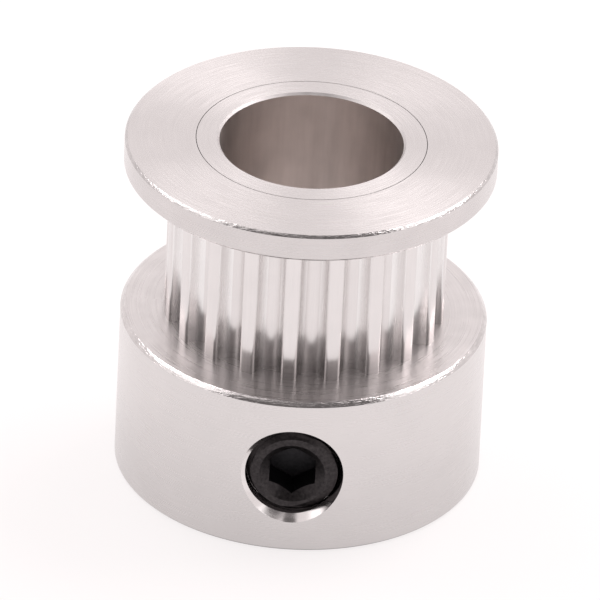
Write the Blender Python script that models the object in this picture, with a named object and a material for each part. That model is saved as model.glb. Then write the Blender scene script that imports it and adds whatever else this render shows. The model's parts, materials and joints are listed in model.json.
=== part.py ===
"""Timing belt pulley: 20 teeth of 2 mm pitch, an 8 mm bore, an end flange and two set screws.

The origin is the centre of the hub's end face. +Z runs up the bore towards the end flange,
and the front set screw faces -Y. Everything is in metres.
"""

from math import acos, atan2, cos, pi, radians, sin

import bmesh
import bpy
from mathutils import Matrix, Vector

MM = 0.001

# Heights, from the hub's end face up
HUB_HEIGHT = 7.5 * MM
CHANNEL_WIDTH = 7.2 * MM
FLANGE_THICKNESS = 1.3 * MM
TOTAL_HEIGHT = HUB_HEIGHT + CHANNEL_WIDTH + FLANGE_THICKNESS

# Diameters and edge breaks
HUB_RADIUS = 8.0 * MM
FLANGE_RADIUS = 8.1 * MM
BORE_RADIUS = 4.0 * MM
SPIGOT_RADIUS = 5.0 * MM
HUB_TOP_CHAMFER = 0.2 * MM
HUB_END_CHAMFER = 0.1 * MM
FLANGE_CHAMFER = 0.12 * MM
BORE_CHAMFER = 0.1 * MM

# Belt teeth: a 2 mm pitch curved groove
TEETH = 20
BELT_PITCH = 2.0 * MM
PITCH_LINE_OFFSET = 0.254 * MM
TIP_RADIUS = TEETH * BELT_PITCH / (2 * pi) - PITCH_LINE_OFFSET
GROOVE_DEPTH = 0.76 * MM
ROOT_ARC = 0.555 * MM
FLANK_ARC = 1.0 * MM
FLANK_OFFSET = 0.4 * MM
TIP_ARC = 0.15 * MM
FIRST_GROOVE = radians(5.2)

# Set screws: M4 x 0.7, 3 mm long, cup point
SCREW_ANGLES = {"front": 0.0, "rear": radians(120)}
SCREW_HEIGHT = HUB_HEIGHT / 2
SCREW_RADIUS = 1.98 * MM
SCREW_LENGTH = 3.0 * MM
SCREW_DEPTH = 0.3 * MM
SCREW_FACE_RADIUS = 1.72 * MM
SCREW_CHAMFER_DEPTH = 0.2 * MM
POINT_RADIUS = 1.0 * MM
CUP_RADIUS = 0.85 * MM
CUP_DEPTH = 0.4 * MM
SOCKET_FLATS = 2.0 * MM
SOCKET_DEPTH = 1.6 * MM
SOCKET_MOUTH_RADIUS = 1.42 * MM
SOCKET_MOUTH_DEPTH = 0.38 * MM

# Tapped holes
HOLE_RADIUS = 2.03 * MM
HOLE_MOUTH_RADIUS = 2.28 * MM
HOLE_MOUTH_DEPTH = 0.33 * MM

# Clearances and mesh fineness
PRESS_GAP = 0.03 * MM
SEAT_GAP = 0.03 * MM
OVERRUN = 0.5 * MM
MERGE_DISTANCE = 0.0005 * MM
ROUND_FACETS = 120
SCREW_FACETS = 32
SMOOTH_ANGLE = radians(30)

ALUMINIUM = (0.78, 0.75, 0.745)
BLACK_OXIDE = (0.035, 0.033, 0.034)


def clear_scene():
    for item in list(bpy.data.objects):
        bpy.data.objects.remove(item, do_unlink=True)


def make_material(name, colour, roughness):
    """A bare metal with its own colour and roughness."""
    material = bpy.data.materials.new(name)
    material.use_nodes = True
    shader = material.node_tree.nodes["Principled BSDF"]
    shader.inputs["Base Color"].default_value = (*colour, 1.0)
    shader.inputs["Roughness"].default_value = roughness
    shader.inputs["Metallic"].default_value = 1.0
    return material


def add_object(name, shape, material=None):
    """Turn a bmesh into a named, smooth-shaded object with its normals facing out."""
    bmesh.ops.recalc_face_normals(shape, faces=shape.faces)
    mesh = bpy.data.meshes.new(name)
    shape.to_mesh(mesh)
    shape.free()
    mesh.shade_smooth()
    mesh.set_sharp_from_angle(angle=SMOOTH_ANGLE)
    item = bpy.data.objects.new(name, mesh)
    bpy.context.scene.collection.objects.link(item)
    if material:
        mesh.materials.append(material)
    return item


def as_guide(item):
    """Mark an object that only shapes another one."""
    item.hide_render = True
    item.display_type = "WIRE"
    return item


def combine(target, other, operation):
    """Join a guide to an object, or cut it away."""
    modifier = target.modifiers.new(f"{operation.lower()}_{other.name}", "BOOLEAN")
    modifier.operation = operation
    modifier.object = as_guide(other)
    modifier.solver = "EXACT"


def turned(outline, facets, closed=False):
    """Spin (radius, height) points about Z.

    An open outline starts and ends on the axis. A closed one is a ring's section.
    """
    shape = bmesh.new()
    points = [shape.verts.new((radius, 0.0, height)) for radius, height in outline]
    edges = [shape.edges.new(pair) for pair in zip(points, points[1:])]
    if closed:
        edges.append(shape.edges.new((points[-1], points[0])))
    bmesh.ops.spin(
        shape,
        geom=points + edges,
        axis=(0, 0, 1),
        cent=(0, 0, 0),
        angle=2 * pi,
        steps=facets,
        use_merge=True,
    )
    bmesh.ops.remove_doubles(shape, verts=shape.verts, dist=MERGE_DISTANCE)
    return shape


def extruded(outline, bottom, top):
    """Extrude a flat (x, y) outline from one height to another."""
    shape = bmesh.new()
    face = shape.faces.new([shape.verts.new((x, y, bottom)) for x, y in outline])
    grown = bmesh.ops.extrude_face_region(shape, geom=[face])["geom"]
    rim = [item for item in grown if isinstance(item, bmesh.types.BMVert)]
    bmesh.ops.translate(shape, verts=rim, vec=(0, 0, top - bottom))
    return shape


def arc_points(centre, radius, start, end, steps):
    """Points along an arc, both ends included."""
    angles = [start + (end - start) * step / steps for step in range(steps + 1)]
    return [centre + radius * Vector((cos(angle), sin(angle))) for angle in angles]


def half_groove():
    """One side of a groove about +X, from the root out to the tooth's land.

    A root arc runs into a larger flank arc, and a small arc rounds the tooth's tip.
    """
    root_centre = Vector((TIP_RADIUS - GROOVE_DEPTH + ROOT_ARC, 0.0))
    reach = FLANK_ARC - ROOT_ARC
    flank_lift = (reach**2 - FLANK_OFFSET**2) ** 0.5
    flank_centre = root_centre + Vector((flank_lift, -FLANK_OFFSET))
    root_end = atan2(FLANK_OFFSET, -flank_lift)

    # The tip arc touches the flank arc and the outer circle, which fixes its centre.
    tip_distance = TIP_RADIUS - TIP_ARC
    flank_distance = flank_centre.length
    spread = acos(
        (flank_distance**2 + tip_distance**2 - (FLANK_ARC + TIP_ARC) ** 2)
        / (2 * flank_distance * tip_distance)
    )
    tip_angle = atan2(flank_centre.y, flank_centre.x) + spread
    tip_centre = tip_distance * Vector((cos(tip_angle), sin(tip_angle)))
    to_tip = tip_centre - flank_centre
    flank_end = atan2(to_tip.y, to_tip.x)

    points = arc_points(root_centre, ROOT_ARC, pi, root_end, 4)
    points += arc_points(flank_centre, FLANK_ARC, root_end, flank_end, 2)[1:]
    points += arc_points(tip_centre, TIP_ARC, flank_end - pi, tip_angle, 3)[1:]
    return points


def tooth_outline():
    """The barrel's section: a groove, mirrored about its middle, repeated for every tooth."""
    side = half_groove()
    groove = [Vector((point.x, -point.y)) for point in reversed(side[1:])] + side
    outline = []
    for tooth in range(TEETH):
        turn = Matrix.Rotation(FIRST_GROOVE - pi / 2 + tooth * 2 * pi / TEETH, 2)
        outline += [turn @ point for point in groove]
    return outline


def radial_matrix(angle):
    """Stand a shape made along +Z on the hub's side, pointing out, at an angle from -Y."""
    return (
        Matrix.Translation((0, 0, SCREW_HEIGHT))
        @ Matrix.Rotation(angle, 4, "Z")
        @ Matrix.Rotation(pi / 2, 4, "X")
    )


def bore_cutter():
    """The bore with a small chamfer at each end."""
    mouth = BORE_RADIUS + BORE_CHAMFER + OVERRUN
    outline = [
        (0.0, -OVERRUN),
        (mouth, -OVERRUN),
        (BORE_RADIUS, BORE_CHAMFER),
        (BORE_RADIUS, TOTAL_HEIGHT - BORE_CHAMFER),
        (mouth, TOTAL_HEIGHT + OVERRUN),
        (0.0, TOTAL_HEIGHT + OVERRUN),
    ]
    return add_object("bore_cutter", turned(outline, ROUND_FACETS))


def hole_cutter(side, angle):
    """A set screw's hole with its countersunk mouth, from inside the bore to past the hub."""
    growth = (HOLE_MOUTH_RADIUS - HOLE_RADIUS) / HOLE_MOUTH_DEPTH
    outline = [
        (0.0, BORE_RADIUS / 2),
        (HOLE_RADIUS, BORE_RADIUS / 2),
        (HOLE_RADIUS, HUB_RADIUS - HOLE_MOUTH_DEPTH),
        (HOLE_MOUTH_RADIUS + growth * OVERRUN, HUB_RADIUS + OVERRUN),
        (0.0, HUB_RADIUS + OVERRUN),
    ]
    cutter = add_object(f"hole_cutter_{side}", turned(outline, SCREW_FACETS))
    cutter.matrix_world = radial_matrix(angle)
    return cutter


def make_pulley_body():
    """Hub, toothed barrel and spigot, turned and cut from one bar."""
    hub_outline = [
        (0.0, 0.0),
        (HUB_RADIUS - HUB_END_CHAMFER, 0.0),
        (HUB_RADIUS, HUB_END_CHAMFER),
        (HUB_RADIUS, HUB_HEIGHT - HUB_TOP_CHAMFER),
        (HUB_RADIUS - HUB_TOP_CHAMFER, HUB_HEIGHT),
        (0.0, HUB_HEIGHT),
    ]
    metal = make_material("machined_aluminium", ALUMINIUM, 0.28)
    body = add_object("pulley_body", turned(hub_outline, ROUND_FACETS), metal)

    barrel_top = HUB_HEIGHT + CHANNEL_WIDTH
    barrel = add_object("barrel", extruded(tooth_outline(), HUB_HEIGHT - OVERRUN, barrel_top))
    combine(body, barrel, "UNION")

    spigot_outline = [
        (0.0, barrel_top - OVERRUN),
        (SPIGOT_RADIUS, barrel_top - OVERRUN),
        (SPIGOT_RADIUS, TOTAL_HEIGHT),
        (0.0, TOTAL_HEIGHT),
    ]
    spigot = add_object("spigot", turned(spigot_outline, ROUND_FACETS))
    combine(body, spigot, "UNION")

    combine(body, bore_cutter(), "DIFFERENCE")
    for side, angle in SCREW_ANGLES.items():
        combine(body, hole_cutter(side, angle), "DIFFERENCE")
    return body


def make_end_flange():
    """The ring pressed over the spigot, which keeps the belt on."""
    inner = SPIGOT_RADIUS + PRESS_GAP
    bottom = HUB_HEIGHT + CHANNEL_WIDTH + SEAT_GAP
    section = [
        (inner, bottom),
        (FLANGE_RADIUS - FLANGE_CHAMFER, bottom),
        (FLANGE_RADIUS, bottom + FLANGE_CHAMFER),
        (FLANGE_RADIUS, TOTAL_HEIGHT - FLANGE_CHAMFER),
        (FLANGE_RADIUS - FLANGE_CHAMFER, TOTAL_HEIGHT),
        (inner, TOTAL_HEIGHT),
    ]
    metal = make_material("turned_flange_aluminium", ALUMINIUM, 0.22)
    return add_object("end_flange", turned(section, ROUND_FACETS, closed=True), metal)


def socket_cutter(side):
    """A hexagonal socket sunk from the screw's outer end, with corners up and down."""
    corner = SOCKET_FLATS / 2 / cos(pi / 6)
    corners = [(corner * sin(k * pi / 3), corner * cos(k * pi / 3)) for k in range(6)]
    return add_object(f"socket_cutter_{side}", extruded(corners, -SOCKET_DEPTH, OVERRUN))


def mouth_cutter(side):
    """The countersink at the socket's mouth."""
    slope = (SOCKET_MOUTH_RADIUS - SOCKET_FLATS / 2) / SOCKET_MOUTH_DEPTH
    outline = [
        (0.0, -SOCKET_MOUTH_DEPTH),
        (SOCKET_FLATS / 2, -SOCKET_MOUTH_DEPTH),
        (SOCKET_MOUTH_RADIUS + slope * OVERRUN, OVERRUN),
        (0.0, OVERRUN),
    ]
    return add_object(f"mouth_cutter_{side}", turned(outline, SCREW_FACETS))


def make_set_screw(side, angle):
    """A cup point screw. Its origin is the middle of its outer face, on its axis."""
    point_height = SCREW_RADIUS - POINT_RADIUS
    outline = [
        (0.0, CUP_DEPTH - SCREW_LENGTH),
        (CUP_RADIUS, -SCREW_LENGTH),
        (POINT_RADIUS, -SCREW_LENGTH),
        (SCREW_RADIUS, point_height - SCREW_LENGTH),
        (SCREW_RADIUS, -SCREW_CHAMFER_DEPTH),
        (SCREW_FACE_RADIUS, 0.0),
        (0.0, 0.0),
    ]
    metal = make_material(f"black_oxide_steel_{side}", BLACK_OXIDE, 0.35)
    screw = add_object(f"set_screw_{side}", turned(outline, SCREW_FACETS), metal)
    seat = radial_matrix(angle) @ Matrix.Translation((0, 0, HUB_RADIUS - SCREW_DEPTH))
    screw.matrix_world = seat
    for cutter in (socket_cutter(side), mouth_cutter(side)):
        cutter.matrix_world = seat
        combine(screw, cutter, "DIFFERENCE")
    return screw


def build():
    clear_scene()
    make_pulley_body()
    make_end_flange()
    for side, angle in SCREW_ANGLES.items():
        make_set_screw(side, angle)


build()
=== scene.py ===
"""Looks for the timing belt pulley: fine machined meshes, metals, floor, light and camera."""

import json
from math import acos, atan2, cos, pi, radians, sin, sqrt

import bmesh
import bpy
from mathutils import Matrix, Quaternion, Vector


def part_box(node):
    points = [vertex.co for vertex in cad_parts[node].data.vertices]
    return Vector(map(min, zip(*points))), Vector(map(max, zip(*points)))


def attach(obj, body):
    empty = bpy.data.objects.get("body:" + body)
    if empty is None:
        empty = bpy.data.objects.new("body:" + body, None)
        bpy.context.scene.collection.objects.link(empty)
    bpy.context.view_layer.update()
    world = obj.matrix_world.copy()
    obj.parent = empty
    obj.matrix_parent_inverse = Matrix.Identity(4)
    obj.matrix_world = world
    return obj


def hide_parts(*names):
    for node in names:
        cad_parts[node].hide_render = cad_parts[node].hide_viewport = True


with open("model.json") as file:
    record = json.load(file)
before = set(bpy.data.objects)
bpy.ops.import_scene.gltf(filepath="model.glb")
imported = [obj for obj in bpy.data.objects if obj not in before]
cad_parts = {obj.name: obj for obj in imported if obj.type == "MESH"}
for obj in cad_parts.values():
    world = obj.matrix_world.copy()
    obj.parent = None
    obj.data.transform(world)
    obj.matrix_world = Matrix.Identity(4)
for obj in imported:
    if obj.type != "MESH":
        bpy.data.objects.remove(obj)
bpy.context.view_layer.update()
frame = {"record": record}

MM = 0.001

# Sizes that the frame holds
BODY_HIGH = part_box("pulley_body")[1]
FLANGE_LOW, FLANGE_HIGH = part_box("end_flange")
SCREW_LOW, SCREW_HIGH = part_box("set_screw_front")
MOUNTS = {mount["name"]: mount for mount in frame["record"]["mounts"]}
JOINT_AXES = {joint["child"]: Vector(joint["axis"]) for joint in frame["record"]["behaviour"]["joints"]}
HUB_RADIUS = BODY_HIGH[0]
TOTAL_HEIGHT = BODY_HIGH[2]
FLANGE_RADIUS = FLANGE_HIGH[0]
FLANGE_BOTTOM = FLANGE_LOW[2]
BORE_RADIUS = MOUNTS["shaft_bore"]["dims"]["r_mm"] * MM
SCREW_HEIGHT = (SCREW_LOW[2] + SCREW_HIGH[2]) / 2
SCREW_TIP = -SCREW_HIGH[1]
SCREW_FACE = -SCREW_LOW[1]

# Body sizes, as in the CAD model
HUB_HEIGHT = 7.5 * MM
BARREL_TOP = 14.7 * MM
SPIGOT_RADIUS = 5.0 * MM
HUB_TOP_CHAMFER = 0.2 * MM
HUB_END_CHAMFER = 0.1 * MM
BORE_CHAMFER = 0.1 * MM
FLANGE_CHAMFER = 0.12 * MM
PRESS_GAP = 0.03 * MM

# Belt teeth
TEETH = 20
BELT_PITCH = 2.0 * MM
PITCH_LINE_HEIGHT = 0.254 * MM
TIP_RADIUS = TEETH * BELT_PITCH / (2 * pi) - PITCH_LINE_HEIGHT
GROOVE_DEPTH = 0.76 * MM
ROOT_ARC = 0.555 * MM
FLANK_ARC = 1.0 * MM
FLANK_OFFSET = 0.4 * MM
TIP_ARC = 0.15 * MM
FIRST_GROOVE = radians(5.2)

# M4 x 0.7 threads, screw and hole
THREAD_PITCH = 0.7 * MM
THREAD_START = 0.05 * MM
THREAD_FLANK = (0.125, 0.21, 0.295, 0.375)
SCREW_CREST = 1.97 * MM
SCREW_ROOT = 1.57 * MM
HOLE_CREST = 1.65 * MM
HOLE_ROOT = 2.05 * MM
MOUTH_WIDTHS = (0.17 * MM, 0.26 * MM)
MOUTH_DEPTHS = (0.11 * MM, 0.36 * MM)
MOUTH_PROFILE = ((0.0, 1.0), (0.93, 0.08), (1.0, 0.0))
COUNTERBORE_DEPTH = 0.6 * MM
SCREW_FACE_RADIUS = 1.72 * MM
SCREW_CHAMFER_DEPTH = 0.2 * MM
POINT_RADIUS = 1.0 * MM
CUP_RADIUS = 0.85 * MM
CUP_DEPTH = 0.4 * MM
SOCKET_FLATS = 2.0 * MM
SOCKET_CORNER = SOCKET_FLATS / 2 / cos(pi / 6)
SOCKET_DEPTH = 1.6 * MM
SOCKET_MOUTH_RADIUS = 1.42 * MM
SOCKET_MOUTH_DEPTH = 0.38 * MM

# Mesh fineness
ROUND_FACETS = 720
THREAD_FACETS = 96
SPARE_TURNS = 2
ROOT_STEPS = 10
FLANK_STEPS = 5
TIP_STEPS = 6
LAND_STEPS = 4
EDGE_STEPS = 5
EDGE_ROUNDNESS = 0.2
EDGE_SUPPORT = 0.05 * MM
OVERRUN = 0.5 * MM
MERGE_DISTANCE = 0.0002 * MM
SMOOTH_ANGLE = radians(32)

# How a face is told from its neighbours: by the upward part of its normal, by how squarely it
# faces away from the bore's axis, and by its place
CONE_TILTS = (0.3, 0.95)
WALL_TILT = 0.5
FLANK_LEAN = cos(radians(35))
NEAR = 0.01 * MM
VERY_NEAR = 0.002 * MM
SOCKET_LIP = 0.05 * MM

# Camera, from the photographed view of the pulley
CAMERA_AZIMUTH = radians(1.2)
CAMERA_ELEVATION = radians(31.28)
CAMERA_ROLL = radians(2.74)
CAMERA_DISTANCE = 626 * MM
CAMERA_LENS = 861.6
SENSOR_WIDTH = 36
CAMERA_CLIP = (10 * MM, 10.0)
AIM_RIGHT = -0.184 * MM
AIM_UP = -0.093 * MM

# Noise that gives the metals their grain
NOISE_MIDDLE = (0.3, 0.7)
NOISE_ROUGHNESS = 0.6
MARK_DETAIL = 2.0
CLOUD_SCALE = 0.6
GRAIN_SCALE = 7.0
GRAIN_DETAIL = 3.0
GRAIN_DEPTH = 0.001

# Metals, by the cut that left them, with painted light on some and painted shade on others
BRIGHT_ALUMINIUM = (0.78, 0.745, 0.74)
ACROSS_ROUND_MARKS = 0.25
ACROSS_AXIAL_MARKS = 0.0
HOB_MARKS = {
    "contrast": 0.93,
    "marks": (14.0, 85.0, 0.6),
    "depth": 0.0002,
    "anisotropy": 0.88,
    "across": ACROSS_AXIAL_MARKS,
}
CUTS = {
    "turned_wall": {
        "colour": (0.725, 0.694, 0.689),
        "contrast": 0.95,
        "roughness": (0.26, 0.32),
        "marks": (22.0, 1.5, 22.0),
        "depth": 0.0002,
        "anisotropy": 0.6,
        # Painted shade: the wall darker towards its foot, a painted reflection of the shaded floor near
        # the hub
        "painted_shade": (0.86, -1.0, 6.5),
    },
    "rim": {
        "colour": (0.70, 0.665, 0.66),
        "contrast": 0.90,
        "roughness": (0.24, 0.32),
        "marks": (16.0, 2.0, 16.0),
        "depth": 0.0005,
        "anisotropy": 0.6,
    },
    "faced": {
        "colour": (0.722, 0.69, 0.685),
        "contrast": 0.93,
        "roughness": (0.24, 0.30),
        "marks": (16.0, 2.5, 16.0),
        "depth": 0.0003,
        "anisotropy": 0.8,
    },
    "ledge": {
        "colour": (0.77, 0.735, 0.73),
        "contrast": 0.80,
        "roughness": (0.26, 0.34),
        "marks": (16.0, 1.5, 16.0),
        "depth": 0.0012,
        "anisotropy": 0.5,
    },
    "hobbed": {
        "colour": (0.79, 0.755, 0.75),
        "roughness": (0.23, 0.27),
        # Painted shade: darker at the foot of the teeth, in the corner above the ledge
        "painted_shade": (0.74, 7.5, 8.6),
        **HOB_MARKS,
    },
    # The teeth's steep flanks: the hobbed metal painted lighter, as painted light against the shade
    # between the teeth
    "flank": {
        "colour": (0.88, 0.86, 0.856),
        "roughness": (0.24, 0.28),
        # Painted shade: darker at the foot of the teeth, in the corner above the ledge
        "painted_shade": (0.70, 7.5, 8.6),
        **HOB_MARKS,
    },
    # The bore's drilled wall, painted lighter than the turned metal: painted light in the shade of the
    # bore
    "drilled": {
        "colour": (0.88, 0.82, 0.795),
        "contrast": 0.82,
        "roughness": (0.28, 0.34),
        "marks": (2.0, 10.0, 0.3),
        "depth": 0.0005,
    },
    "tapped": {
        "colour": BRIGHT_ALUMINIUM,
        "contrast": 0.90,
        "roughness": (0.12, 0.20),
        "marks": (6.0, 6.0, 6.0),
        "depth": 0.0008,
    },
    "edge": {
        "colour": BRIGHT_ALUMINIUM,
        "contrast": 0.72,
        "roughness": (0.08, 0.16),
        "marks": (13.0, 24.0, 13.0),
        "depth": 0.021,
    },
    # The bore's chamfer, painted darker than the other chamfers to dim its reflected highlight: painted
    # shade
    "bore_edge": {
        "colour": (0.62, 0.593, 0.589),
        "contrast": 0.92,
        "roughness": (0.44, 0.52),
        "marks": (4.0, 10.0, 4.0),
        "depth": 0.0003,
    },
    # The hub's bottom chamfer, painted dark: painted shade for the reflected contact shadow of the
    # floor
    "resting_edge": {
        "colour": (0.36, 0.345, 0.343),
        "contrast": 0.80,
        "roughness": (0.35, 0.45),
        "marks": (12.0, 22.0, 12.0),
        "depth": 0.001,
    },
    "flange_edge": {
        "colour": (0.72, 0.69, 0.685),
        "contrast": 0.68,
        "roughness": (0.10, 0.20),
        "marks": (14.0, 30.0, 14.0),
        "depth": 0.022,
    },
}

# Black oxide, by the surface under it; in the socket a darker copy is painted shade
OXIDES = {
    "ground": {
        "dark": (0.028, 0.025, 0.026),
        "light": (0.06, 0.054, 0.055),
        "roughness": (0.32, 0.44),
    },
    # Inside the socket: a rougher broached finish, painted darker as painted shade
    "broached_painted_shade": {
        "dark": (0.026, 0.025, 0.027),
        "light": (0.046, 0.044, 0.047),
        "roughness": (0.46, 0.58),
    },
}

# Studio: a pale tent with a dark opening where the photographer stands. Each part of the
# opening has an azimuth, an elevation, and the angles from its middle at which it starts and
# stops fading. Each softbox has an azimuth, an elevation and a power. Angles are in degrees.
TENT = (1.0, 0.95, 0.95, 1.0)
TENT_STRENGTH = 1.0
OPENING = (0.18, 0.167, 0.167, 1.0)
OPENING_PARTS = (
    (-33, 24, 16, 26),
    (-22, 44, 16, 26),
    (8, 40, 16, 26),
    (34, 50, 16, 26),
    (0, 79, 6, 13),
)
SIDE_PANEL = (1.7, 1.65, 1.65, 1.0)
PANEL_REACH = (0.4, 0.65)
PANEL_HEIGHT = (0.5, 0.65)
FLOOR_RADIUS = 1.5
FLOOR_FACETS = 96
FLOOR_GAP = 0.01 * MM
FLOOR_BASE = (0.14, 0.14, 0.14, 1.0)
FLOOR_ROUGHNESS = 0.9
FLOOR_GLOW = (0.81, 0.778, 0.778, 1.0)
SOFTBOXES = {
    "right_softbox": (128, 55, 1.8),
    "left_softbox": (-128, 55, 0.9),
}
SOFTBOX_SIZE = 0.3
SOFTBOX_DISTANCE = 0.5


# ---------------------------------------------------------------- mesh tools


def new_object(name, shape):
    """Turn a bmesh into an object with its faces out."""
    bmesh.ops.recalc_face_normals(shape, faces=shape.faces)
    mesh = bpy.data.meshes.new(name)
    shape.to_mesh(mesh)
    shape.free()
    item = bpy.data.objects.new(name, mesh)
    bpy.context.scene.collection.objects.link(item)
    return item


def smooth(item):
    item.data.shade_smooth()
    item.data.set_sharp_from_angle(angle=SMOOTH_ANGLE)


def carve(target, cutters, operation="DIFFERENCE"):
    """Apply each Boolean at once and remove its cutter."""
    for cutter in cutters:
        modifier = target.modifiers.new("carve", "BOOLEAN")
        modifier.operation = operation
        modifier.solver = "EXACT"
        modifier.object = cutter
    graph = bpy.context.evaluated_depsgraph_get()
    result = bpy.data.meshes.new_from_object(target.evaluated_get(graph), depsgraph=graph)
    target.modifiers.clear()
    old = target.data
    target.data = result
    result.name = target.name
    bpy.data.meshes.remove(old)
    for cutter in cutters:
        bpy.data.objects.remove(cutter, do_unlink=True)


def turned(outline, facets, closed=False):
    """Spin (radius, height) points about Z. A closed outline is a ring's section."""
    shape = bmesh.new()
    points = [shape.verts.new((radius, 0.0, height)) for radius, height in outline]
    edges = [shape.edges.new(pair) for pair in zip(points, points[1:])]
    if closed:
        edges.append(shape.edges.new((points[-1], points[0])))
    bmesh.ops.spin(
        shape,
        geom=points + edges,
        axis=(0, 0, 1),
        cent=(0, 0, 0),
        angle=2 * pi,
        steps=facets,
        use_merge=True,
    )
    bmesh.ops.remove_doubles(shape, verts=shape.verts, dist=MERGE_DISTANCE)
    return shape


def extruded(outline, bottom, top):
    """Extrude a flat (x, y) outline from one height to another."""
    shape = bmesh.new()
    face = shape.faces.new([shape.verts.new((x, y, bottom)) for x, y in outline])
    grown = bmesh.ops.extrude_face_region(shape, geom=[face])["geom"]
    rim = [item for item in grown if isinstance(item, bmesh.types.BMVert)]
    bmesh.ops.translate(shape, verts=rim, vec=(0, 0, top - bottom))
    return shape


def arc_points(centre, radius, start, end, steps):
    """Points along an arc, both ends included."""
    angles = [start + (end - start) * step / steps for step in range(steps + 1)]
    return [centre + radius * Vector((cos(angle), sin(angle))) for angle in angles]


def soft_edge(radius, height, size, way):
    """(radius, height) points of a slightly rounded chamfer on an outer edge, upwards.

    way is 1 for a top edge and -1 for a bottom one.
    """
    points = [(radius, height - way * (size + EDGE_SUPPORT))]
    for step in range(EDGE_STEPS + 1):
        share = step / EDGE_STEPS
        flat = Vector((1 - share, share))
        arc = Vector((cos(share * pi / 2), sin(share * pi / 2)))
        across, up = flat.lerp(arc, EDGE_ROUNDNESS)
        points.append((radius - size * (1 - across), height - way * size * (1 - up)))
    points.append((radius - size - EDGE_SUPPORT, height))
    return points[::way]


# ---------------------------------------------------------------- pulley body


def half_groove():
    """One side of a groove about +X: root arc, flank arc and the tooth's rounded tip."""
    root_centre = Vector((TIP_RADIUS - GROOVE_DEPTH + ROOT_ARC, 0.0))
    reach = FLANK_ARC - ROOT_ARC
    flank_lift = sqrt(reach**2 - FLANK_OFFSET**2)
    flank_centre = root_centre + Vector((flank_lift, -FLANK_OFFSET))
    root_end = atan2(FLANK_OFFSET, -flank_lift)

    tip_distance = TIP_RADIUS - TIP_ARC
    flank_distance = flank_centre.length
    between = acos(
        (flank_distance**2 + tip_distance**2 - (FLANK_ARC + TIP_ARC) ** 2)
        / (2 * flank_distance * tip_distance)
    )
    tip_angle = atan2(flank_centre.y, flank_centre.x) + between
    tip_centre = tip_distance * Vector((cos(tip_angle), sin(tip_angle)))
    to_tip = tip_centre - flank_centre
    flank_end = atan2(to_tip.y, to_tip.x)

    points = arc_points(root_centre, ROOT_ARC, pi, root_end, ROOT_STEPS)
    points += arc_points(flank_centre, FLANK_ARC, root_end, flank_end, FLANK_STEPS)[1:]
    points += arc_points(tip_centre, TIP_ARC, flank_end - pi, tip_angle, TIP_STEPS)[1:]
    return points


def tooth_outline():
    """The barrel's section, with every groove and the arcs of the lands between them."""
    side = half_groove()
    groove = [Vector((point.x, -point.y)) for point in reversed(side[1:])] + side
    groove_end = atan2(side[-1].y, side[-1].x)
    step = 2 * pi / TEETH
    axis = Vector((0, 0))
    land = arc_points(axis, TIP_RADIUS, groove_end, step - groove_end, LAND_STEPS)[1:-1]
    outline = []
    for tooth in range(TEETH):
        turn = Matrix.Rotation(FIRST_GROOVE - pi / 2 + tooth * step, 2)
        outline += [turn @ point for point in groove + land]
    return outline


def radial_matrix(direction):
    """Stand a shape made along +Z on the bore's axis at the screws' height, pointing out."""
    turn = atan2(direction.x, -direction.y)
    return (
        Matrix.Translation((0, 0, SCREW_HEIGHT))
        @ Matrix.Rotation(turn, 4, "Z")
        @ Matrix.Rotation(pi / 2, 4, "X")
    )


def thread_section(crest, root):
    """Radii over one pitch as (fraction of the pitch, radius), for a 60 degree thread."""
    start, end = THREAD_FLANK[0], THREAD_FLANK[-1]
    rises = [(fraction - start) / (end - start) for fraction in THREAD_FLANK]
    up = [(fraction, root + (crest - root) * rise) for fraction, rise in zip(THREAD_FLANK, rises)]
    down = [(1 - fraction, radius) for fraction, radius in reversed(up)]
    return [(0.0, root)] + up + [(0.5, crest)] + down


def radius_at(section, fraction):
    """A thread's radius at a fraction of its pitch."""
    for (low, inner), (high, outer) in zip(section, section[1:] + [(1.0, section[0][1])]):
        if low <= fraction <= high:
            return inner + (outer - inner) * (fraction - low) / (high - low)


def threaded_solid(bottom, top, section, limit):
    """A closed solid with a right-hand thread about Z and flat ends.

    Its grid follows the helix. Rows past an end fold onto that end, at the thread's radius
    there, and limit(height) is the largest radius that the chamfers leave.
    """
    shape = bmesh.new()
    per_turn = len(section)
    first = int(bottom / THREAD_PITCH) - SPARE_TURNS
    rows = per_turn * (int((top - bottom) / THREAD_PITCH) + 2 * SPARE_TURNS + 1)

    def place(column, row):
        turn, index = divmod(row, per_turn)
        fraction, radius = section[index]
        start = THREAD_START + column / THREAD_FACETS * THREAD_PITCH
        height = start + (first + turn + fraction) * THREAD_PITCH
        if not bottom < height < top:
            height = min(max(height, bottom), top)
            radius = radius_at(section, (height - start) / THREAD_PITCH % 1)
        radius = min(radius, limit(height))
        angle = 2 * pi * column / THREAD_FACETS
        return shape.verts.new((radius * cos(angle), radius * sin(angle), height))

    columns = [[place(column, row) for row in range(rows)] for column in range(THREAD_FACETS)]
    for column in range(THREAD_FACETS):
        # One turn on, the last column meets the first one a pitch higher.
        shift = per_turn if column == THREAD_FACETS - 1 else 0
        left = columns[column]
        right = columns[(column + 1) % THREAD_FACETS]
        for row in range(rows - 1 - shift):
            corners = (left[row], right[row + shift], right[row + shift + 1], left[row + 1])
            shape.faces.new(corners)
    bmesh.ops.remove_doubles(shape, verts=shape.verts, dist=MERGE_DISTANCE)
    rim = [edge for edge in shape.edges if edge.is_boundary]
    bmesh.ops.holes_fill(shape, edges=rim, sides=0)
    return shape


def thread_cutter(direction):
    """A threaded hole, from inside the bore to past the hub."""
    section = thread_section(HOLE_ROOT, HOLE_CREST)
    bottom = BORE_RADIUS / 2
    top = HUB_RADIUS + OVERRUN
    shape = threaded_solid(bottom, top, section, lambda height: HOLE_ROOT)
    cutter = new_object("thread_cutter", shape)
    cutter.matrix_world = radial_matrix(direction)
    return cutter


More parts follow.
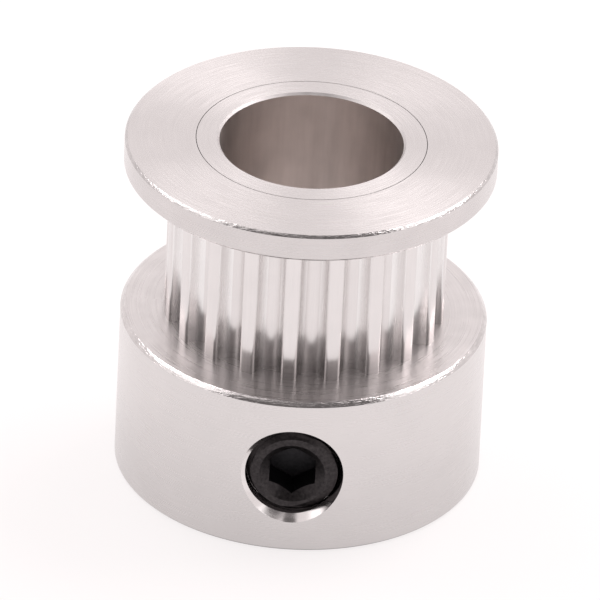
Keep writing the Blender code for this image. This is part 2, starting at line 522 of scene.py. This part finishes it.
def mouth_section(angle):
    """(radius, depth) points of the hole's mouth, from its axis and back to it.

    The broken edge is narrowest at the hole's sides and widest at its top and bottom. It is
    steep all round but for its left side.
    """
    side_width, full_width = MOUTH_WIDTHS
    left_depth, full_depth = MOUTH_DEPTHS
    width = side_width + (full_width - side_width) * sin(angle) ** 2
    depth = full_depth - (full_depth - left_depth) * max(0.0, -cos(angle)) ** 2
    lead_in = COUNTERBORE_DEPTH + HOLE_ROOT - HOLE_CREST
    section = [(0.0, lead_in), (HOLE_CREST, lead_in), (HOLE_ROOT, COUNTERBORE_DEPTH)]
    section += [(HOLE_ROOT + across * width, down * depth) for across, down in MOUTH_PROFILE]
    return section + [(HOLE_ROOT + width, -OVERRUN), (0.0, -OVERRUN)]


def mouth_cutter(direction):
    """The hole's mouth, at the same depths all round under the hub's curved wall."""
    shape = bmesh.new()
    columns = []
    for column in range(THREAD_FACETS):
        angle = 2 * pi * column / THREAD_FACETS
        points = []
        for radius, depth in mouth_section(angle):
            x, y = radius * cos(angle), radius * sin(angle)
            points.append(shape.verts.new((x, y, sqrt(HUB_RADIUS**2 - x**2) - depth)))
        columns.append(points)
    for left, right in zip(columns, columns[1:] + columns[:1]):
        for row in range(len(left) - 1):
            shape.faces.new((left[row], right[row], right[row + 1], left[row + 1]))
    bmesh.ops.remove_doubles(shape, verts=shape.verts, dist=MERGE_DISTANCE)
    bmesh.ops.triangulate(shape, faces=shape.faces)
    cutter = new_object("mouth_cutter", shape)
    cutter.matrix_world = radial_matrix(direction)
    return cutter


def hub_outline():
    """Half section of the hub: end face, broken edges, wall and the ledge under the belt."""
    end = soft_edge(HUB_RADIUS, 0.0, HUB_END_CHAMFER, -1)
    top = soft_edge(HUB_RADIUS, HUB_HEIGHT, HUB_TOP_CHAMFER, 1)
    return [(0.0, 0.0)] + end + top + [(0.0, HUB_HEIGHT)]


def bore_cutter():
    mouth = BORE_RADIUS + BORE_CHAMFER + OVERRUN
    outline = [
        (0.0, -OVERRUN),
        (mouth, -OVERRUN),
        (BORE_RADIUS, BORE_CHAMFER),
        (BORE_RADIUS, TOTAL_HEIGHT - BORE_CHAMFER),
        (mouth, TOTAL_HEIGHT + OVERRUN),
        (0.0, TOTAL_HEIGHT + OVERRUN),
    ]
    return new_object("bore_cutter", turned(outline, ROUND_FACETS))


def make_pulley_body():
    body = new_object("machined_body", turned(hub_outline(), ROUND_FACETS))
    barrel = new_object("barrel", extruded(tooth_outline(), HUB_HEIGHT - OVERRUN, BARREL_TOP))
    spigot_outline = [
        (0.0, BARREL_TOP - OVERRUN),
        (SPIGOT_RADIUS, BARREL_TOP - OVERRUN),
        (SPIGOT_RADIUS, TOTAL_HEIGHT),
        (0.0, TOTAL_HEIGHT),
    ]
    spigot = new_object("spigot", turned(spigot_outline, ROUND_FACETS))
    carve(body, [barrel, spigot], "UNION")
    holes = [cut(axis) for axis in JOINT_AXES.values() for cut in (thread_cutter, mouth_cutter)]
    carve(body, [bore_cutter()] + holes)
    smooth(body)
    paint(body, body_surface, "body")
    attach(body, "pulley")
    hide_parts("pulley_body")


def on_cone(face):
    """True for a face of a chamfer."""
    shallow, steep = CONE_TILTS
    return shallow < abs(face.normal.z) < steep


def on_wall(face):
    """True for an upright face."""
    return abs(face.normal.z) < WALL_TILT


def in_screw_hole(face):
    """True for a face between the bore and the hub's wall that belongs to a set screw's hole."""
    if face.center.to_2d().length > HUB_RADIUS - VERY_NEAR:
        return False
    away = face.center - Vector((0, 0, SCREW_HEIGHT))
    for axis in JOINT_AXES.values():
        along = away.dot(axis)
        across = (away - along * axis).length
        if along > 0 and across < HOLE_ROOT + MOUTH_WIDTHS[1]:
            return True
    return False


def body_surface(face):
    """Which cut made this face of the body, and which faces get painted light and painted shade."""
    radius = face.center.to_2d().length
    height = face.center.z
    # The bore's wall gets its painted light.
    if on_wall(face) and radius < BORE_RADIUS + NEAR:
        return "drilled"
    if in_screw_hole(face):
        return "tapped"
    if on_cone(face):
        # The bore's chamfer gets its painted shade.
        if radius < BORE_RADIUS + BORE_CHAMFER:
            return "bore_edge"
        # The hub's bottom chamfer gets its painted shade.
        return "edge" if height > HUB_END_CHAMFER else "resting_edge"
    if HUB_HEIGHT + NEAR < height < BARREL_TOP - NEAR:
        # Steep faces between the teeth get the lighter copy, as painted light.
        steep = face.normal.to_2d().dot(face.center.to_2d()) < FLANK_LEAN * radius
        return "flank" if steep and radius < TIP_RADIUS - TIP_ARC / 2 else "hobbed"
    if on_wall(face):
        return "turned_wall"
    return "ledge" if abs(height - HUB_HEIGHT) < NEAR else "faced"


def flange_surface(face):
    """Which cut made this face of the flange."""
    if on_cone(face):
        return "flange_edge"
    return "rim" if on_wall(face) else "faced"


def paint(item, surface_of, prefix):
    """Give each face the metal of the cut that made it, with its painted light and painted shade."""
    names = sorted({surface_of(face) for face in item.data.polygons})
    for name in names:
        item.data.materials.append(cut_aluminium(f"{prefix}_{name}", **CUTS[name]))
    for face in item.data.polygons:
        face.material_index = names.index(surface_of(face))


# ---------------------------------------------------------------- flange and screws


def make_flange():
    inner = SPIGOT_RADIUS + PRESS_GAP
    bottom = soft_edge(FLANGE_RADIUS, FLANGE_BOTTOM, FLANGE_CHAMFER, -1)
    top = soft_edge(FLANGE_RADIUS, TOTAL_HEIGHT, FLANGE_CHAMFER, 1)
    section = [(inner, FLANGE_BOTTOM)] + bottom + top + [(inner, TOTAL_HEIGHT)]
    flange = new_object("turned_flange", turned(section, ROUND_FACETS, closed=True))
    smooth(flange)
    paint(flange, flange_surface, "flange")
    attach(flange, "pulley")
    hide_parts("end_flange")


def screw_blank():
    """The threaded screw along +Z, at its distance from the bore's axis."""
    chamfer_slope = (SCREW_CREST - SCREW_FACE_RADIUS) / SCREW_CHAMFER_DEPTH

    def limit(height):
        chamfer = SCREW_FACE_RADIUS + chamfer_slope * (SCREW_FACE - height)
        point = POINT_RADIUS + height - SCREW_TIP
        return min(chamfer, point)

    section = thread_section(SCREW_CREST, SCREW_ROOT)
    return new_object("screw", threaded_solid(SCREW_TIP, SCREW_FACE, section, limit))


def socket_cutters():
    """The socket's hexagon, and the cone of its lead-in."""
    turns = [k * pi / 3 for k in range(6)]
    corners = [(SOCKET_CORNER * sin(turn), SOCKET_CORNER * cos(turn)) for turn in turns]
    hexagon = extruded(corners, SCREW_FACE - SOCKET_DEPTH, SCREW_FACE + OVERRUN)

    slope = (SOCKET_MOUTH_RADIUS - SOCKET_FLATS / 2) / SOCKET_MOUTH_DEPTH
    mouth_outline = [
        (0.0, SCREW_FACE - SOCKET_MOUTH_DEPTH),
        (SOCKET_FLATS / 2, SCREW_FACE - SOCKET_MOUTH_DEPTH),
        (SOCKET_MOUTH_RADIUS + slope * OVERRUN, SCREW_FACE + OVERRUN),
        (0.0, SCREW_FACE + OVERRUN),
    ]
    mouth = turned(mouth_outline, THREAD_FACETS)
    return [new_object("socket", hexagon), new_object("mouth", mouth)]


def cup_cutter():
    """The hollow of the cup in the screw's point."""
    cup_slope = CUP_DEPTH / CUP_RADIUS
    cup_outline = [
        (0.0, SCREW_TIP + CUP_DEPTH),
        (CUP_RADIUS + OVERRUN / cup_slope, SCREW_TIP - OVERRUN),
        (0.0, SCREW_TIP - OVERRUN),
    ]
    return new_object("cup", turned(cup_outline, THREAD_FACETS))


def paint_screw(mesh):
    """Give the screw its two kinds of black oxide, the second one, darker as painted shade, in its
    socket.
    """
    for name, look in OXIDES.items():
        mesh.materials.append(black_oxide(f"{name}_oxide", **look))
    for face in mesh.polygons:
        across = face.center.to_2d().length
        depth = SCREW_FACE - face.center.z
        # Faces in the socket get the darker copy, painted shade.
        in_socket = across < SOCKET_CORNER and SOCKET_LIP < depth < SOCKET_DEPTH + SOCKET_LIP
        face.material_index = int(in_socket)


def screw_mesh():
    """The finished screw's mesh, which both screws share."""
    screw = screw_blank()
    carve(screw, socket_cutters() + [cup_cutter()])
    smooth(screw)
    mesh = screw.data
    bpy.data.objects.remove(screw, do_unlink=True)
    paint_screw(mesh)
    return mesh


def make_screws():
    mesh = screw_mesh()
    for body, axis in JOINT_AXES.items():
        screw = bpy.data.objects.new(f"threaded_{body}", mesh)
        bpy.context.scene.collection.objects.link(screw)
        screw.matrix_world = radial_matrix(axis)
        side = body.split("_")[0]
        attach(screw, body)
        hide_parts(f"set_screw_{side}")


# ---------------------------------------------------------------- materials


def new_material(name):
    material = bpy.data.materials.new(name)
    material.use_nodes = True
    return material, material.node_tree


def node(tree, kind, inputs, output=0, **settings):
    """Add a shader node and return one of its outputs.

    Each of its inputs is given a value, or a socket to link to it.
    """
    made = tree.nodes.new("ShaderNode" + kind)
    for key, value in settings.items():
        setattr(made, key, value)
    for key, value in inputs.items():
        if isinstance(value, bpy.types.NodeSocket):
            tree.links.new(value, made.inputs[key])
        else:
            made.inputs[key].default_value = value
    return made.outputs[output]


def coordinates(tree, vector):
    """The three coordinates of a vector."""
    return node(tree, "SeparateXYZ", {0: vector}).node.outputs


def millimetres(tree):
    """Object coordinates in millimetres."""
    place = node(tree, "TexCoord", {}, output="Object")
    per_metre = (1 / MM, 1 / MM, 1 / MM)
    return node(tree, "VectorMath", {0: place, 1: per_metre}, operation="MULTIPLY")


def about_axis(tree, place):
    """The radius, angle and height of a place about the bore's axis."""
    x, y, z = coordinates(tree, place)
    flat = node(tree, "CombineXYZ", {0: x, 1: y, 2: 0.0})
    radius = node(tree, "VectorMath", {0: flat}, output="Value", operation="LENGTH")
    angle = node(tree, "Math", {0: y, 1: x}, operation="ARCTAN2")
    return radius, angle, z


def spread(tree, value, low, high):
    """Map a noise's middle range onto low to high."""
    start, end = NOISE_MIDDLE
    limits = {"From Min": start, "From Max": end, "To Min": low, "To Max": high}
    return node(tree, "MapRange", {"Value": value, **limits})


def soft_step(tree, value, low, high):
    """0 below low, 1 above high, and a smooth rise between."""
    limits = {"Value": value, "From Min": low, "From Max": high}
    return node(tree, "MapRange", limits, interpolation_type="SMOOTHSTEP")


def noise(tree, vector, scale, detail):
    inputs = {"Vector": vector, "Scale": scale, "Detail": detail, "Roughness": NOISE_ROUGHNESS}
    return node(tree, "TexNoise", inputs, noise_dimensions="3D")


def finish_metal(tree, colour, roughness, height, depth):
    """Drive the Principled shader with a colour, a roughness and a bump height in millimetres."""
    shader = tree.nodes["Principled BSDF"]
    bump = node(tree, "Bump", {"Height": height, "Strength": 1.0, "Distance": depth * MM})
    shader.inputs["Metallic"].default_value = 1.0
    tree.links.new(colour, shader.inputs["Base Color"])
    tree.links.new(roughness, shader.inputs["Roughness"])
    tree.links.new(bump, shader.inputs["Normal"])
    return shader


def cut_aluminium(
    name,
    colour,
    contrast,
    roughness,
    marks,
    depth,
    anisotropy=0.0,
    across=ACROSS_ROUND_MARKS,
    painted_shade=None,
):
    """A machined surface.

    marks is how many tool marks lie along a millimetre of radius, a radian about the axis and
    a millimetre of height, so the smallest of them is the way the tool went. contrast is how
    dark the darkest of them are, and across turns the stretched highlights to cross them.
    painted_shade is painted shade: how dark it makes the metal, and the heights in millimetres at
    which it is darkest and where it ends.
    """
    material, tree = new_material(name)
    place = millimetres(tree)
    radius, angle, height = about_axis(tree, place)
    scaled = [
        node(tree, "Math", {0: value, 1: count}, operation="MULTIPLY")
        for value, count in zip((radius, angle, height), marks)
    ]
    stretched = node(tree, "CombineXYZ", dict(enumerate(scaled)))
    fine = noise(tree, stretched, 1.0, MARK_DETAIL)
    cloud = noise(tree, place, CLOUD_SCALE, MARK_DETAIL)
    # Half of the tint comes from the marks and half from the cloud.
    halves = [spread(tree, pattern, 0.0, 0.5) for pattern in (fine, cloud)]
    tint = node(tree, "Math", dict(enumerate(halves)), operation="ADD")
    light = (*colour, 1.0)
    dark = (*(contrast * channel for channel in colour), 1.0)
    shade = node(tree, "MixRGB", {0: tint, 1: dark, 2: light})
    # Painted shade: the metal darkens towards the given height.
    if painted_shade:
        darkest, deepest_shade_height, end = painted_shade
        clear = soft_step(tree, height, deepest_shade_height, end)
        painted_shade_tint = node(tree, "MixRGB", {0: clear, 1: (darkest, darkest, darkest, 1.0), 2: (1, 1, 1, 1)})
        shade = node(tree, "MixRGB", {0: 1.0, 1: shade, 2: painted_shade_tint}, blend_type="MULTIPLY")
    shader = finish_metal(tree, shade, spread(tree, fine, *roughness), fine, depth)
    shader.inputs["Anisotropic"].default_value = anisotropy
    shader.inputs["Anisotropic Rotation"].default_value = across
    around = node(tree, "Tangent", {}, direction_type="RADIAL", axis="Z")
    tree.links.new(around, shader.inputs["Tangent"])
    return material


def black_oxide(name, dark, light, roughness):
    """Black oxide on steel, with a slight oily sheen."""
    material, tree = new_material(name)
    grain = noise(tree, millimetres(tree), GRAIN_SCALE, GRAIN_DETAIL)
    tint = spread(tree, grain, 0.0, 1.0)
    shade = node(tree, "MixRGB", {0: tint, 1: (*dark, 1.0), 2: (*light, 1.0)})
    finish_metal(tree, shade, spread(tree, grain, *roughness), grain, GRAIN_DEPTH)
    return material


# ---------------------------------------------------------------- studio


def towards(azimuth, elevation):
    """Unit vector at an azimuth, counted from -Y towards +X, and an elevation."""
    level = cos(elevation)
    return Vector((sin(azimuth) * level, -cos(azimuth) * level, sin(elevation)))


def add_camera():
    data = bpy.data.cameras.new("camera")
    data.lens = CAMERA_LENS
    data.sensor_width = SENSOR_WIDTH
    data.clip_start, data.clip_end = CAMERA_CLIP
    camera = bpy.data.objects.new("camera", data)
    bpy.context.scene.collection.objects.link(camera)
    back = towards(CAMERA_AZIMUTH, CAMERA_ELEVATION)
    turn = (-back).to_track_quat("-Z", "Y") @ Quaternion((0, 0, 1), CAMERA_ROLL)
    aim = Vector((0, 0, TOTAL_HEIGHT / 2)) + turn @ Vector((AIM_RIGHT, AIM_UP, 0))
    camera.rotation_mode = "QUATERNION"
    camera.rotation_quaternion = turn
    camera.location = aim + CAMERA_DISTANCE * back
    bpy.context.scene.camera = camera


def add_floor():
    """A pale, faintly lit table, which keeps shadows light."""
    shape = bmesh.new()
    bmesh.ops.create_circle(shape, cap_ends=True, radius=FLOOR_RADIUS, segments=FLOOR_FACETS)
    floor = new_object("floor", shape)
    floor.location.z = -FLOOR_GAP
    material, tree = new_material("pale_floor")
    shader = tree.nodes["Principled BSDF"]
    shader.inputs["Base Color"].default_value = FLOOR_BASE
    shader.inputs["Roughness"].default_value = FLOOR_ROUGHNESS
    shader.inputs["Emission Color"].default_value = FLOOR_GLOW
    shader.inputs["Emission Strength"].default_value = 1.0
    floor.data.materials.append(material)


def add_world():
    """The tent: light from all round, more from its sides and less from its opening."""
    world = bpy.data.worlds.new("tent")
    bpy.context.scene.world = world
    world.use_nodes = True
    tree = world.node_tree
    way = node(tree, "TexCoord", {}, output="Generated")
    opening = 0.0
    for azimuth, elevation, inner, outer in OPENING_PARTS:
        pair = {0: way, 1: towards(radians(azimuth), radians(elevation))}
        closeness = node(tree, "VectorMath", pair, output="Value", operation="DOT_PRODUCT")
        patch = soft_step(tree, closeness, cos(radians(outer)), cos(radians(inner)))
        opening = node(tree, "Math", {0: opening, 1: patch}, operation="MAXIMUM")
    x, _, z = coordinates(tree, way)
    sideways = node(tree, "Math", {0: x}, operation="ABSOLUTE")
    beside = soft_step(tree, sideways, *PANEL_REACH)
    above = soft_step(tree, z, *PANEL_HEIGHT)
    panel = node(tree, "Math", {0: beside, 1: above}, operation="MULTIPLY")
    colour = node(tree, "MixRGB", {0: panel, 1: TENT, 2: SIDE_PANEL})
    colour = node(tree, "MixRGB", {0: opening, 1: colour, 2: OPENING})
    back = tree.nodes["Background"]
    tree.links.new(colour, back.inputs["Color"])
    back.inputs["Strength"].default_value = TENT_STRENGTH


def add_softbox(name, azimuth, elevation, power):
    """A square light that faces the pulley."""
    data = bpy.data.lights.new(name, "AREA")
    data.size = SOFTBOX_SIZE
    data.energy = power
    data.color = TENT[:3]
    light = bpy.data.objects.new(name, data)
    bpy.context.scene.collection.objects.link(light)
    place = towards(azimuth, elevation)
    light.location = SOFTBOX_DISTANCE * place
    light.rotation_mode = "QUATERNION"
    light.rotation_quaternion = place.to_track_quat("Z", "Y")


make_pulley_body()
make_flange()
make_screws()
add_camera()
add_floor()
add_world()
for softbox, (azimuth, elevation, power) in SOFTBOXES.items():
    add_softbox(softbox, radians(azimuth), radians(elevation), power)
bpy.context.scene.view_settings.view_transform = "Standard"
